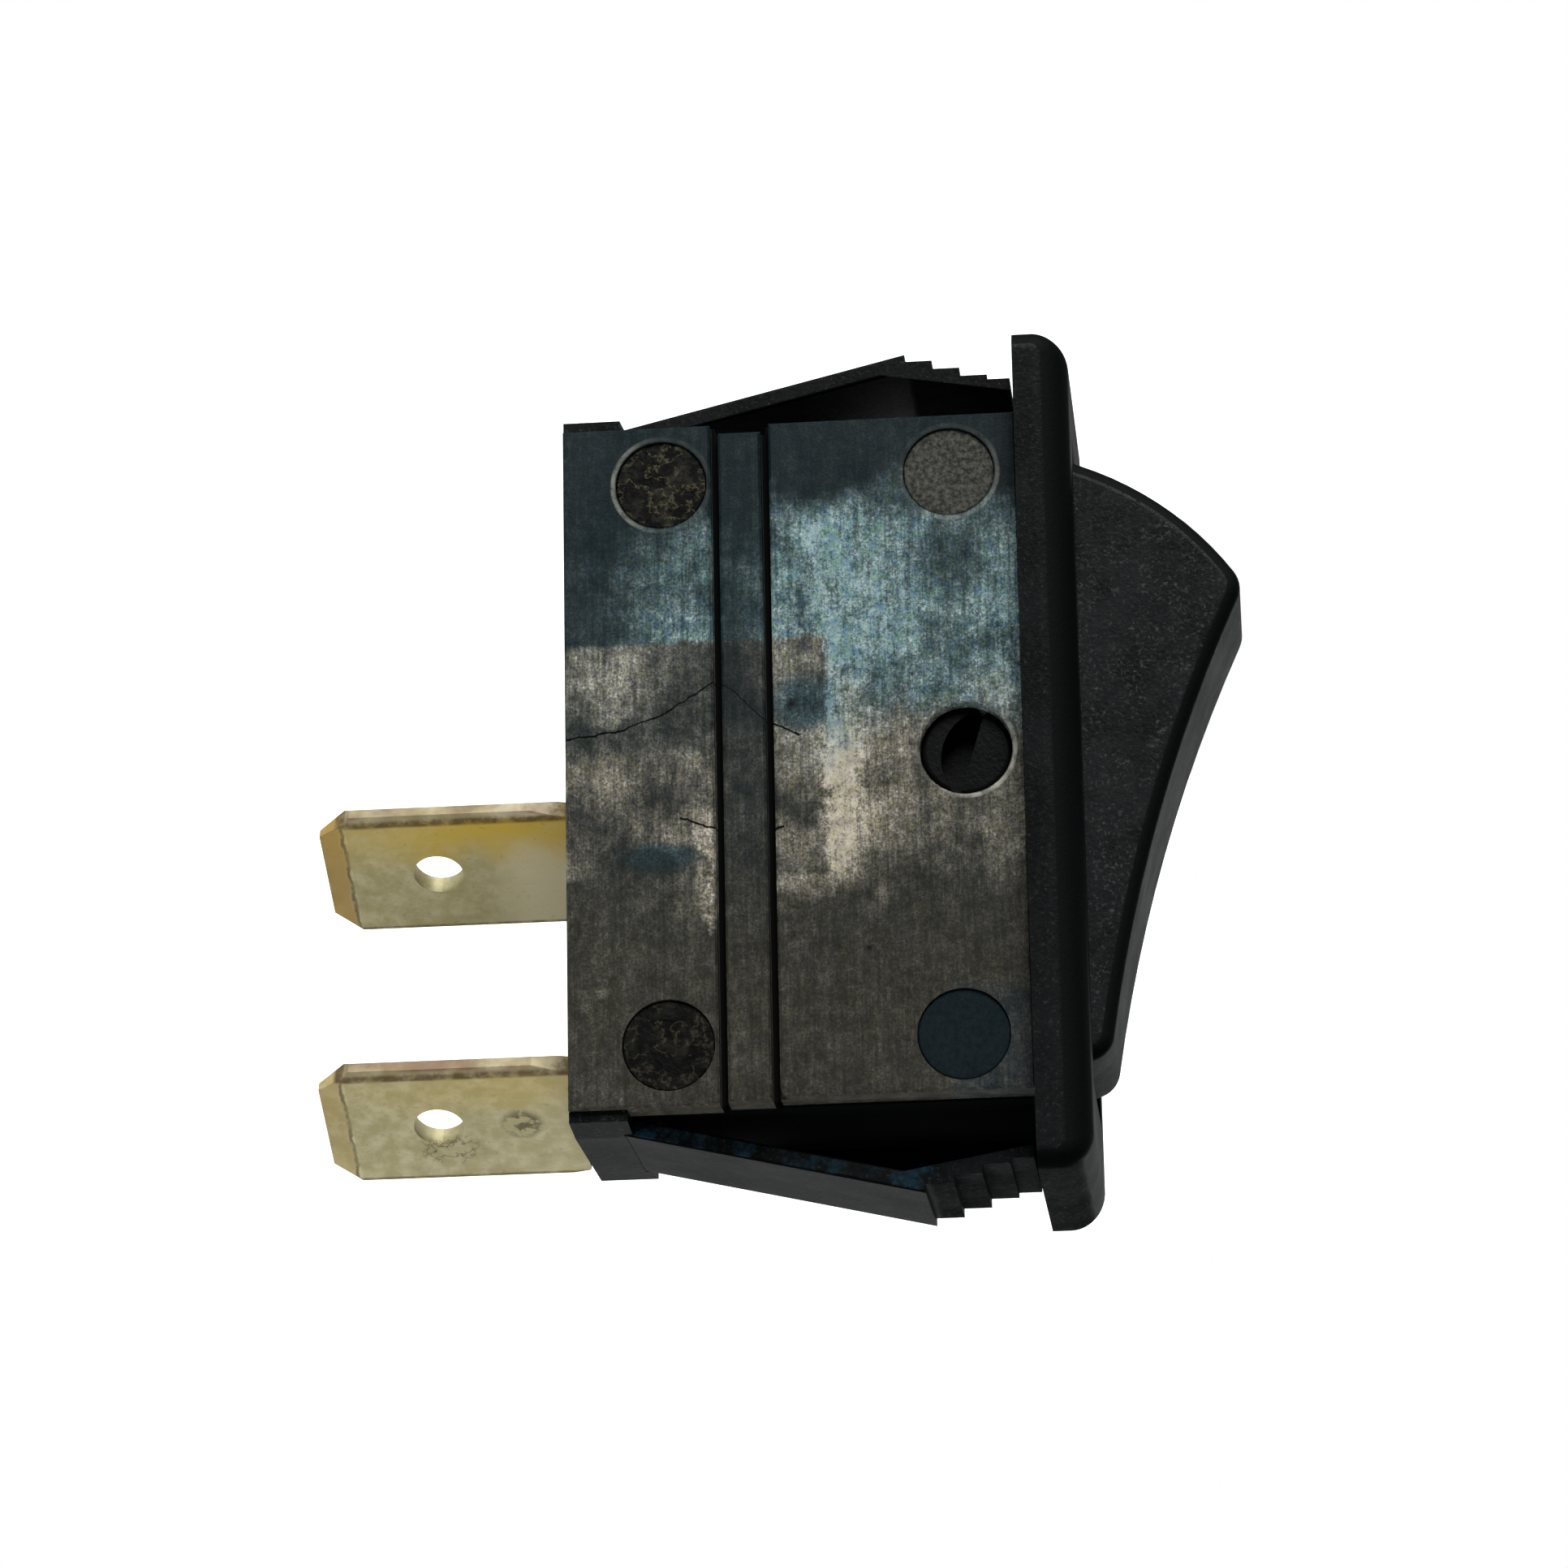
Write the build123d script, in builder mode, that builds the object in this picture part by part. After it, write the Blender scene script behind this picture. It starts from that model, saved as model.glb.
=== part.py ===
from build123d import *
import os
from math import asin, atan2, cos, radians, sin, tan

# Snap-in rocker switch for a 30 x 11 mm panel cut-out, in millimetres.
# Origin: centre of the panel seat, the rear face of the bezel. +Z points out of the panel,
# X runs along the long axis of the switch and +Y points away from the side cover.

# ---- driving dimensions ----
BODY_LENGTH = 27.4          # side cover, along X
BODY_WIDTH = 10.8           # outside of cover to outside of back wall, along Y
BODY_DEPTH = 17.9           # behind the panel
WALL = 1.5                  # cover plate and back wall
REAR_WALL = 1.6
END_WALL_OUTER = 13.6
CAVITY_HALF_LENGTH = 12.9
SWING_HALF_LENGTH = 13.1   # wider front part of the cavity, where the rocker swings
SWING_ROOM_Z = -7.6
FLANGE_HALF_LENGTH = 14.9   # the back wall runs past the end walls behind the latch arms
FLANGE_SLOPE = (-12.5, -9.0)  # it widens between these heights
PAD_HALF_LENGTH = 14.35     # outside of the latch pads at the rear corners
PAD_DEPTH = 2.25
PAD_SETBACK = 0.3           # near side of the pads behind the cover's face
PAD_COVER_GAP = 0.03
PAD_NEAR_TAPER = (2.0, 0.2)
PAD_FAR_TAPER = (0.5, 0.1)

BEZEL_LENGTH = 33.4
BEZEL_SHIFT = 0.13          # the bezel stands this far off the body's centre, along X
BEZEL_WIDTH = 13.6
BEZEL_THICKNESS = 2.15
BEZEL_EDGE_RADIUS = 1.4
BEZEL_CORNER_RADIUS = 0.8
OPENING_HALF_LENGTH = 13.0
OPENING_HALF_WIDTH = 4.0
OPENING_EDGE_RADIUS = 0.2

PIVOT_Z = -2.3              # rocker axis below the panel seat
ROCKER_TILT = 17.3          # either side of level; at rest the +X end is pressed in
ROCKER_RADIUS = 12.88       # end faces, struck from the pivot
ROCKER_CORNER_ANGLE = 49.0  # from the rocker's own axis to its upper corners
ROCKER_SKIRT_ANGLE = 95.0
ROCKER_DISH_HEIGHT = 7.72   # middle of the dished face above the pivot
ROCKER_HALF_WIDTH = 3.8
ROCKER_NOSE_RADIUS = 1.1    # upper corners, seen from the side
ROCKER_EDGE_RADIUS = 0.6    # along both sides of the dished face and the ends
ROCKER_WALL = 0.9
ROCKER_ROOF = 1.6           # between the dished face and the hollow
HOLLOW_INSET = 2.4          # end of the hollow's roof, back from the upper corner
HOLLOW_END_DROP = 0.6
HOLLOW_BREAK = (1.6, 1.0)
BOSS_HALF_LENGTH = 2.6
BOSS_LINE = -3.6
BOSS_CAP = 1.8
BORE_RADIUS = 1.45
BORE_TOP = 4.6
TRUNNION_RADIUS = 1.74
TRUNNION_HOLE_RADIUS = 1.80
TRUNNION_RECESS = 0.45
TRUNNION_END_GAP = 0.1
TRUNNION_ROOT = 0.5
TRUNNION_EDGE_RADIUS = 0.2
LAND_EDGE = 0.25            # edges and floor of the hollow in the near trunnion
TRUNNION_HOLLOW_CENTRE = 1.1
TRUNNION_HOLLOW_RADIUS = 2.05
TRUNNION_HOLLOW_FLOOR = 1.5

PLUNGER_RADIUS = 1.40
PLUNGER_TOP = -1.4
SPRING_WIRE_RADIUS = 0.2
SPRING_RADIUS = 1.1
SPRING_TURNS = 6
SPRING_END_GAP = 0.1

FULCRUM_Z = -10.6
BLADE_TILT = 8.5
BLADE_THICKNESS = 0.6
BLADE_HALF_WIDTH = 2.6
BLADE_NECK_HALF_WIDTH = 1.9
BLADE_NECK_HALF_LENGTH = 1.3
BLADE_BEAD_RADIUS = 0.5
BLADE_VERTEX = 0.55         # top of the valley above the bead's centre
BLADE_VALLEY_SLOPE = 16.0
BLADE_VALLEY_REACH = 3.4
BLADE_REACH = 9.8
CONTACT_X = 8.6
CONTACT_RADIUS = 1.4
CONTACT_HEIGHT = 0.7
CONTACT_SHANK_RADIUS = 0.7
RIVET_HEAD_RADIUS = 1.05
RIVET_HEAD_HEIGHT = 0.3
CLOSED_GAP = 0.02
STOP_POST = (2.6, 4.0)      # post under the idle end of the blade
WALL_RIBS = ((-5.5, -13.6), (6.6, -14.2))  # middles of two ribs on the back wall
RIB_SIZE = (1.0, 5.4)
RIB_HEIGHT = 0.9

TAB_WIDTH = 6.3
TAB_THICKNESS = 0.8
TAB_TIP_Z = -28.2
TAB_HOLE_RADIUS = 1.0
TAB_HOLE_FROM_TIP = 4.5
TAB_TWIST = 30.0            # the tabs are turned this far to lock them in the rear wall
TAB_OFFSET = 0.3            # the tab stands this far off its neck, along its own width
TAB_GAP = 0.1               # from the rear wall to the tab's shoulders
TAB_CORNER = (1.0, 1.3)     # cut corners at the tip, across and along the tab
TAB_TIP_BEVEL = (0.22, 1.1)  # lead-in on both faces, in thickness and in length
TAB_EDGE_BEVEL = 0.18
TAB_SHOULDER = (0.3, 1.7)   # each long edge leans in this far towards the body
NECK_WIDTH = 2.6
NECK_TWIST_LENGTH = 1.1
NECK_TWIST_STEPS = 4
TERMINAL_SHOULDER_WIDTH = 7.2
TERMINAL_SHOULDER_HEIGHT = 1.6
SADDLE_GAP = 0.3            # from the blade's fulcrum axis down to the saddle's top
SADDLE_HALF_LENGTH = 1.5
EAR_LENGTH = 1.6
EAR_HEIGHT = 2.6
EAR_GAP = 0.15
SHELF_OVERHANG = 1.9        # of the throw terminal's shelf beyond the fixed contact
COMMON_X = 2.2
THROW_X = 12.46
SLOT_SIZE = (2.0, 2.84)     # along X and Y, with room for the neck's twist

PEG_X = 11.3
PEG_Z = (-14.0, -2.67)
PEG_RADIUS = 1.79
PEG_HOLE_RADIUS = 1.80
PEG_RECESS = 0.1
PEG_EDGE_RADIUS = 0.08

GROOVE_Z = (-11.9, -9.9)    # the two grooves that bound the marking band
GROOVE_WIDTH = 0.32
GROOVE_DEPTH = 0.5
REAR_PANEL = (-13.70, 13.70)  # the cover's three panels, from end to end along X
BAND = (-13.35, 13.60)
FRONT_PANEL = (-13.66, 13.50)
PANEL_CORNER_RADIUS = 0.4
COVER_EDGE = 0.1
PIVOT_HOLE_EDGE_RADIUS = 0.12

ARM_HALF_WIDTH = 3.4
ARM_THICKNESS = 0.7
ARM_HINGE = (14.02, -15.78)  # X and Z of the bend at the arm's root
ARM_CORNER = (17.0, -4.42)   # widest point of the free arm
ARM_END_Z = -0.25
ARM_END_THICKNESS = 0.5
ARM_KNEE = 0.9              # the inner bend, short of the outer corner
ARM_EDGE_RADIUS = 0.12
RATCHET_PITCH = 1.09
RATCHET_DROPS = (0.33, 0.35, 0.35, 0.20)
ARM_RELIEF = (13.4, -14.7)   # hollow in the end wall beside the arm's root: depth and top
HINGE_CLEARANCE = 0.05
ARM_SOCKET_CLEARANCE = 0.015
ARM_SIDE_GAP = 0.06

# ---- derived places ----
NEAR_FACE = -BODY_WIDTH / 2
COVER_INNER = NEAR_FACE + WALL
BACK_FACE = BODY_WIDTH / 2
BACK_INNER = BACK_FACE - WALL
SHELL_WIDTH = BACK_FACE - COVER_INNER
REAR_INNER = -BODY_DEPTH + REAR_WALL
HALF_LENGTH = BODY_LENGTH / 2
PEG_PLACES = [(x, z) for x in (-PEG_X, PEG_X) for z in PEG_Z]
TURN = radians(ROCKER_TILT)

os.makedirs("parts", exist_ok=True)


def side_plane(y):
    """Sketch plane across the switch at y, with local axes along world X and Z."""
    return Plane.XZ.offset(-y)


def tilted_plane(y, centre_z, angle):
    """Like side_plane, but turned by angle about the Y axis through (0, centre_z)."""
    turn = radians(angle)
    return Plane(origin=(0, y, centre_z), x_dir=(cos(turn), 0, -sin(turn)), z_dir=(0, -1, 0))


def turned(x, z, angle):
    """A point turned by angle about the Y axis, from +Z towards +X."""
    turn = radians(angle)
    return x * cos(turn) + z * sin(turn), z * cos(turn) - x * sin(turn)


def save(part, label):
    part.label = label
    export_step(part, f"parts/{label}.step")


# ---- blade heights that the stop post, the contacts and the plunger follow ----
def blade_top(x):
    """Top of the level blade above the fulcrum axis."""
    inner = min(abs(x), BLADE_VALLEY_REACH)
    outer = abs(x) - inner
    return (BLADE_VERTEX + inner * tan(radians(BLADE_VALLEY_SLOPE))
            + outer * tan(radians(BLADE_TILT)))


WING_DROP = BLADE_THICKNESS / cos(radians(BLADE_TILT))
CLOSED_X, closed_rise = turned(CONTACT_X, blade_top(CONTACT_X) - WING_DROP, BLADE_TILT)
CLOSED_UNDERSIDE = FULCRUM_Z + closed_rise
CONTACT_SEAT_Z = CLOSED_UNDERSIDE - 2 * CONTACT_HEIGHT - CLOSED_GAP
STOP_TOP = CLOSED_UNDERSIDE - CLOSED_GAP
PLUNGER_BALL = (PIVOT_Z - FULCRUM_Z - BLADE_VERTEX
                - PLUNGER_RADIUS / cos(radians(BLADE_VALLEY_SLOPE)) - HINGE_CLEARANCE)

# ---- housing: body shell and bezel in one moulding ----
with BuildPart() as housing:
    with BuildSketch(Plane.XY.offset(-BODY_DEPTH)):
        with Locations((0, BACK_FACE - SHELL_WIDTH / 2)):
            Rectangle(2 * END_WALL_OUTER, SHELL_WIDTH)
    extrude(amount=BODY_DEPTH)
    flange_start, flange_full = FLANGE_SLOPE
    with BuildSketch(side_plane(BACK_FACE)):
        with BuildLine():
            Polyline((-END_WALL_OUTER, flange_start), (-FLANGE_HALF_LENGTH, flange_full),
                     (-FLANGE_HALF_LENGTH, 0), (FLANGE_HALF_LENGTH, 0),
                     (FLANGE_HALF_LENGTH, flange_full), (END_WALL_OUTER, flange_start), close=True)
        make_face()
    extrude(amount=WALL)
    # Pads at the rear corners, which wrap round the ends of the cover.
    pad_near = NEAR_FACE + PAD_SETBACK
    lip_inner = HALF_LENGTH + PAD_COVER_GAP
    for side in (-1, 1):
        pad_outline = [
            (END_WALL_OUTER, COVER_INNER), (lip_inner, COVER_INNER), (lip_inner, pad_near),
            (PAD_HALF_LENGTH - PAD_NEAR_TAPER[1], pad_near),
            (PAD_HALF_LENGTH, pad_near + PAD_NEAR_TAPER[0]),
            (PAD_HALF_LENGTH, BACK_FACE - PAD_FAR_TAPER[0]),
            (PAD_HALF_LENGTH - PAD_FAR_TAPER[1], BACK_FACE), (END_WALL_OUTER, BACK_FACE)]
        with BuildSketch(Plane.XY.offset(-BODY_DEPTH)):
            with BuildLine():
                Polyline(*[(side * x, y) for x, y in pad_outline], close=True)
            make_face()
        extrude(amount=PAD_DEPTH)
    with BuildSketch(Plane.XY):
        with Locations((BEZEL_SHIFT, 0)):
            RectangleRounded(BEZEL_LENGTH, BEZEL_WIDTH, BEZEL_CORNER_RADIUS)
    extrude(amount=BEZEL_THICKNESS)
    fillet(housing.faces().sort_by(Axis.Z)[-1].edges(), BEZEL_EDGE_RADIUS)
    # Cavity, with more room along X where the rocker swings, and the opening in the bezel.
    with BuildSketch(Plane.XY.offset(REAR_INNER)):
        Rectangle(2 * CAVITY_HALF_LENGTH, BACK_INNER - COVER_INNER)
    extrude(amount=-REAR_INNER, mode=Mode.SUBTRACT)
    with BuildSketch(Plane.XY.offset(SWING_ROOM_Z)):
        Rectangle(2 * SWING_HALF_LENGTH, BACK_INNER - COVER_INNER)
    extrude(amount=-SWING_ROOM_Z, mode=Mode.SUBTRACT)
    with BuildSketch(Plane.XY):
        Rectangle(2 * OPENING_HALF_LENGTH, 2 * OPENING_HALF_WIDTH)
    extrude(amount=BEZEL_THICKNESS, mode=Mode.SUBTRACT)
    opening_edges = housing.faces().sort_by(Axis.Z)[-1].inner_wires().edges()
    fillet(opening_edges, OPENING_EDGE_RADIUS)
    with BuildSketch(side_plane(BACK_FACE - TRUNNION_RECESS)):
        with Locations((0, PIVOT_Z)):
            Circle(TRUNNION_HOLE_RADIUS)
    extrude(amount=WALL - TRUNNION_RECESS, mode=Mode.SUBTRACT)
    with BuildSketch(Plane.XY.offset(-BODY_DEPTH)):
        with Locations((COMMON_X, 0), (THROW_X, 0)):
            Rectangle(*SLOT_SIZE)
    extrude(amount=REAR_WALL, mode=Mode.SUBTRACT)
    with BuildSketch(Plane.XY.offset(REAR_INNER)):
        with Locations((-CLOSED_X, 0)):
            Rectangle(*STOP_POST)
    extrude(amount=STOP_TOP - REAR_INNER)
    with BuildSketch(side_plane(BACK_INNER)):
        with Locations(*WALL_RIBS):
            Rectangle(*RIB_SIZE)
    extrude(amount=RIB_HEIGHT)
    # Rounded seats in the pads for the roots of the latch arms, open towards the panel.
    relief_bottom, relief_width = ARM_HINGE[1], PAD_HALF_LENGTH - ARM_RELIEF[0]
    with BuildSketch(side_plane(0)):
        for side in (-1, 1):
            with Locations((side * ARM_HINGE[0], ARM_HINGE[1])):
                Circle(ARM_THICKNESS / 2 + ARM_SOCKET_CLEARANCE)
            with Locations((side * (ARM_RELIEF[0] + relief_width), (ARM_RELIEF[1] + relief_bottom) / 2)):
                Rectangle(2 * relief_width, ARM_RELIEF[1] - relief_bottom)
    extrude(amount=ARM_HALF_WIDTH + ARM_SIDE_GAP, both=True, mode=Mode.SUBTRACT)
save(housing.part, "housing")

# ---- side cover: one plate in three panels that closes the body ----
with BuildPart() as side_cover:
    panel_ends = (-BODY_DEPTH, GROOVE_Z[0], GROOVE_Z[1], 0)
    with BuildSketch(side_plane(COVER_INNER)):
        for (low_x, high_x), low_z, high_z in zip(
                (REAR_PANEL, BAND, FRONT_PANEL), panel_ends, panel_ends[1:]):
            with Locations(((low_x + high_x) / 2, (low_z + high_z) / 2)):
                Rectangle(high_x - low_x, high_z - low_z)
        with Locations(*PEG_PLACES):
            Circle(PEG_HOLE_RADIUS, mode=Mode.SUBTRACT)
        with Locations((0, PIVOT_Z)):
            Circle(TRUNNION_HOLE_RADIUS, mode=Mode.SUBTRACT)
    extrude(amount=WALL)
    for groove_z in GROOVE_Z:
        with BuildSketch(side_plane(NEAR_FACE + GROOVE_DEPTH)):
            with Locations((0, groove_z)):
                Rectangle(BODY_LENGTH, GROOVE_WIDTH)
        extrude(amount=GROOVE_DEPTH, mode=Mode.SUBTRACT)
    panel_corner = side_cover.edges().filter_by(Axis.Y).filter_by(
        lambda e: abs(e.center().X - FRONT_PANEL[1]) < 0.01
        and abs(e.center().Z - GROOVE_Z[1] - GROOVE_WIDTH / 2) < 0.01)
    fillet(panel_corner, PANEL_CORNER_RADIUS)
    pivot_rim = side_cover.edges().filter_by(GeomType.CIRCLE).filter_by(
        lambda e: abs(e.arc_center.X) < 0.01 and abs(e.arc_center.Y - NEAR_FACE) < 0.01)
    fillet(pivot_rim, PIVOT_HOLE_EDGE_RADIUS)
    near_faces = side_cover.faces().filter_by(lambda f: abs(f.center().Y - NEAR_FACE) < 0.01)
    chamfer([e for face in near_faces for e in face.outer_wire().edges()], length=COVER_EDGE)
save(side_cover.part, "side_cover")

# ---- four pegs staked in the cover's corner holes ----
with BuildPart() as cover_pegs:
    with BuildSketch(side_plane(COVER_INNER)):
        with Locations(*PEG_PLACES):
            Circle(PEG_RADIUS)
    extrude(amount=WALL - PEG_RECESS)
    fillet(cover_pegs.edges().group_by(Axis.Y)[0], PEG_EDGE_RADIUS)
save(cover_pegs.part, "cover_pegs")

# ---- rocker: dished key, two trunnions and the plunger's bore ----
corner = radians(ROCKER_CORNER_ANGLE)
corner_x, corner_z = ROCKER_RADIUS * sin(corner), ROCKER_RADIUS * cos(corner)
skirt = radians(ROCKER_SKIRT_ANGLE)
skirt_x, skirt_z = ROCKER_RADIUS * sin(skirt), ROCKER_RADIUS * cos(skirt)
middle = (corner + skirt) / 2
end_middle = (ROCKER_RADIUS * sin(middle), ROCKER_RADIUS * cos(middle))
inner_radius = ROCKER_RADIUS - ROCKER_WALL
roof_x = corner_x - HOLLOW_INSET
roof_z = corner_z - ROCKER_ROOF - HOLLOW_END_DROP
break_x, break_z = roof_x + HOLLOW_BREAK[0], roof_z - HOLLOW_BREAK[1]
arc_middle = turned(0, inner_radius, (ROCKER_CORNER_ANGLE + 90) / 2)

with BuildPart() as rocker:
    with BuildSketch(tilted_plane(0, PIVOT_Z, ROCKER_TILT)) as key_outline:
        with BuildLine():
            ThreePointArc((-skirt_x, skirt_z), (-end_middle[0], end_middle[1]), (-corner_x, corner_z))
            ThreePointArc((-corner_x, corner_z), (0, ROCKER_DISH_HEIGHT), (corner_x, corner_z))
            ThreePointArc((corner_x, corner_z), end_middle, (skirt_x, skirt_z))
            Line((skirt_x, skirt_z), (-skirt_x, skirt_z))
        make_face()
        fillet(key_outline.vertices().sort_by(Axis.Y)[-2:], ROCKER_NOSE_RADIUS)
    extrude(amount=ROCKER_HALF_WIDTH, both=True)
    rims = [e for face in rocker.faces().filter_by(Axis.Y) for e in face.edges()
            if e.geom_type != GeomType.LINE]
    fillet(rims, ROCKER_EDGE_RADIUS)
    with BuildSketch(tilted_plane(0, PIVOT_Z, ROCKER_TILT)):
        with BuildLine():
            for side in (-1, 1):
                Line((side * inner_radius, skirt_z), (side * inner_radius, 0))
                ThreePointArc((side * inner_radius, 0), (side * arc_middle[0], arc_middle[1]),
                              (side * break_x, break_z))
                Line((side * break_x, break_z), (side * roof_x, roof_z))
                Line((side * roof_x, roof_z), (0, ROCKER_DISH_HEIGHT - ROCKER_ROOF))
            Line((-inner_radius, skirt_z), (inner_radius, skirt_z))
        make_face()
    extrude(amount=ROCKER_HALF_WIDTH - ROCKER_WALL, both=True, mode=Mode.SUBTRACT)
    boss_top = BORE_TOP + BOSS_CAP
    with BuildSketch(tilted_plane(0, PIVOT_Z, ROCKER_TILT)):
        with Locations((0, (BOSS_LINE + boss_top) / 2)):
            Rectangle(2 * BOSS_HALF_LENGTH, boss_top - BOSS_LINE)
    extrude(amount=ROCKER_HALF_WIDTH, both=True)
    far_end = BACK_FACE - TRUNNION_RECESS - TRUNNION_END_GAP
    for start_y, length in ((far_end, far_end - ROCKER_HALF_WIDTH + TRUNNION_ROOT),
                            (TRUNNION_ROOT - ROCKER_HALF_WIDTH,
                             TRUNNION_ROOT - ROCKER_HALF_WIDTH - NEAR_FACE - TRUNNION_RECESS)):
        with BuildSketch(side_plane(start_y)):
            with Locations((0, PIVOT_Z)):
                Circle(TRUNNION_RADIUS)
        extrude(amount=length)
    near_rim = rocker.edges().filter_by(GeomType.CIRCLE).group_by(Axis.Y)[0]
    fillet(near_rim, TRUNNION_EDGE_RADIUS)
    # A hollow in the near trunnion, between a land parallel to the key and a crescent.
    with BuildSketch(tilted_plane(NEAR_FACE + TRUNNION_HOLLOW_FLOOR, PIVOT_Z, ROCKER_TILT)):
        with Locations((0, TRUNNION_HOLLOW_CENTRE)):
            Circle(TRUNNION_HOLLOW_RADIUS)
        with Locations((0, LAND_EDGE + TRUNNION_HOLLOW_RADIUS)):
            Rectangle(2 * TRUNNION_HOLLOW_RADIUS, 2 * TRUNNION_HOLLOW_RADIUS, mode=Mode.SUBTRACT)
    extrude(amount=TRUNNION_HOLLOW_FLOOR, mode=Mode.SUBTRACT)
    bore_plane = Plane(
        origin=(BOSS_LINE * sin(TURN), 0, PIVOT_Z + BOSS_LINE * cos(TURN)),
        x_dir=(cos(TURN), 0, -sin(TURN)), z_dir=(sin(TURN), 0, cos(TURN)))
    with BuildSketch(bore_plane):
        Circle(BORE_RADIUS)
    extrude(amount=BORE_TOP - BOSS_LINE, mode=Mode.SUBTRACT)
save(rocker.part, "rocker")

# ---- plunger: round-nosed pin that slides in the rocker's bore ----
with BuildPart() as plunger:
    with BuildSketch(tilted_plane(0, PIVOT_Z, ROCKER_TILT)):
        with BuildLine():
            Line((0, PLUNGER_TOP), (PLUNGER_RADIUS, PLUNGER_TOP))
            Line((PLUNGER_RADIUS, PLUNGER_TOP), (PLUNGER_RADIUS, -PLUNGER_BALL))
            CenterArc((0, -PLUNGER_BALL), PLUNGER_RADIUS, 0, -90)
            Line((0, -PLUNGER_BALL - PLUNGER_RADIUS), (0, PLUNGER_TOP))
        make_face()
    revolve(axis=Axis((0, 0, PIVOT_Z), (sin(TURN), 0, cos(TURN))))
save(plunger.part, "plunger")

# ---- plunger spring: round-wire compression coil ----
spring_clear = SPRING_END_GAP + SPRING_WIRE_RADIUS
spring_bottom = PLUNGER_TOP + spring_clear
spring_height = BORE_TOP - spring_clear - spring_bottom
spring_plane = Plane(
    origin=(spring_bottom * sin(TURN), 0, PIVOT_Z + spring_bottom * cos(TURN)),
    x_dir=(cos(TURN), 0, -sin(TURN)), z_dir=(sin(TURN), 0, cos(TURN)))
coil = spring_plane * Helix(
    pitch=spring_height / SPRING_TURNS, height=spring_height, radius=SPRING_RADIUS)
with BuildPart() as plunger_spring:
    with BuildSketch(Plane(origin=coil @ 0, z_dir=coil % 0)):
        Circle(SPRING_WIRE_RADIUS)
    sweep(path=coil, is_frenet=True)
save(plunger_spring.part, "plunger_spring")

# ---- contact blade: see-saw strip with a rounded bead under its middle ----
with BuildPart() as contact_blade:
    valley_rise = blade_top(BLADE_VALLEY_REACH)
    tip_rise = blade_top(BLADE_REACH)
    valley_drop = BLADE_THICKNESS / cos(radians(BLADE_VALLEY_SLOPE))
    upper = [(-BLADE_REACH, tip_rise), (-BLADE_VALLEY_REACH, valley_rise), (0, BLADE_VERTEX),
             (BLADE_VALLEY_REACH, valley_rise), (BLADE_REACH, tip_rise)]
    lower = [(BLADE_REACH, tip_rise - WING_DROP), (BLADE_VALLEY_REACH, valley_rise - WING_DROP),
             (0, BLADE_VERTEX - valley_drop), (-BLADE_VALLEY_REACH, valley_rise - WING_DROP),
             (-BLADE_REACH, tip_rise - WING_DROP)]
    with BuildSketch(tilted_plane(0, FULCRUM_Z, -BLADE_TILT)):
        with BuildLine():
            Polyline(*upper, *lower, close=True)
        make_face()
    extrude(amount=BLADE_HALF_WIDTH, both=True)
    notch_width = BLADE_HALF_WIDTH - BLADE_NECK_HALF_WIDTH
    for notch_y in (-BLADE_NECK_HALF_WIDTH, BLADE_NECK_HALF_WIDTH + 2 * notch_width):
        with BuildSketch(tilted_plane(notch_y, FULCRUM_Z, -BLADE_TILT)):
            Rectangle(2 * BLADE_NECK_HALF_LENGTH, 4 * BLADE_NECK_HALF_LENGTH)
        extrude(amount=2 * notch_width, mode=Mode.SUBTRACT)
    with BuildSketch(tilted_plane(0, FULCRUM_Z, -BLADE_TILT)):
        Circle(BLADE_BEAD_RADIUS)
    extrude(amount=BLADE_NECK_HALF_WIDTH, both=True)
    # Hole for the contact's shank, square to the wing.
    open_x, open_z = turned(CONTACT_X, blade_top(CONTACT_X), -BLADE_TILT)
    lean = radians(2 * BLADE_TILT)
    contact_plane = Plane(
        origin=(open_x, 0, FULCRUM_Z + open_z),
        x_dir=(cos(lean), 0, sin(lean)), z_dir=(sin(lean), 0, -cos(lean)))
    with BuildSketch(contact_plane):
        Circle(CONTACT_SHANK_RADIUS)
    extrude(amount=2 * BLADE_THICKNESS, both=True, mode=Mode.SUBTRACT)
save(contact_blade.part, "contact_blade")

# ---- moving contact: rivet through the blade, head down ----
with BuildPart() as moving_contact_tip:
    with BuildSketch(contact_plane):
        Circle(CONTACT_SHANK_RADIUS)
    extrude(amount=BLADE_THICKNESS)
    with BuildSketch(contact_plane.offset(BLADE_THICKNESS)):
        Circle(CONTACT_RADIUS)
    extrude(amount=CONTACT_HEIGHT)
    with BuildSketch(contact_plane.offset(-RIVET_HEAD_HEIGHT)):
        Circle(RIVET_HEAD_RADIUS)
    extrude(amount=RIVET_HEAD_HEIGHT)
save(moving_contact_tip.part, "moving_contact_tip")


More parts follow.
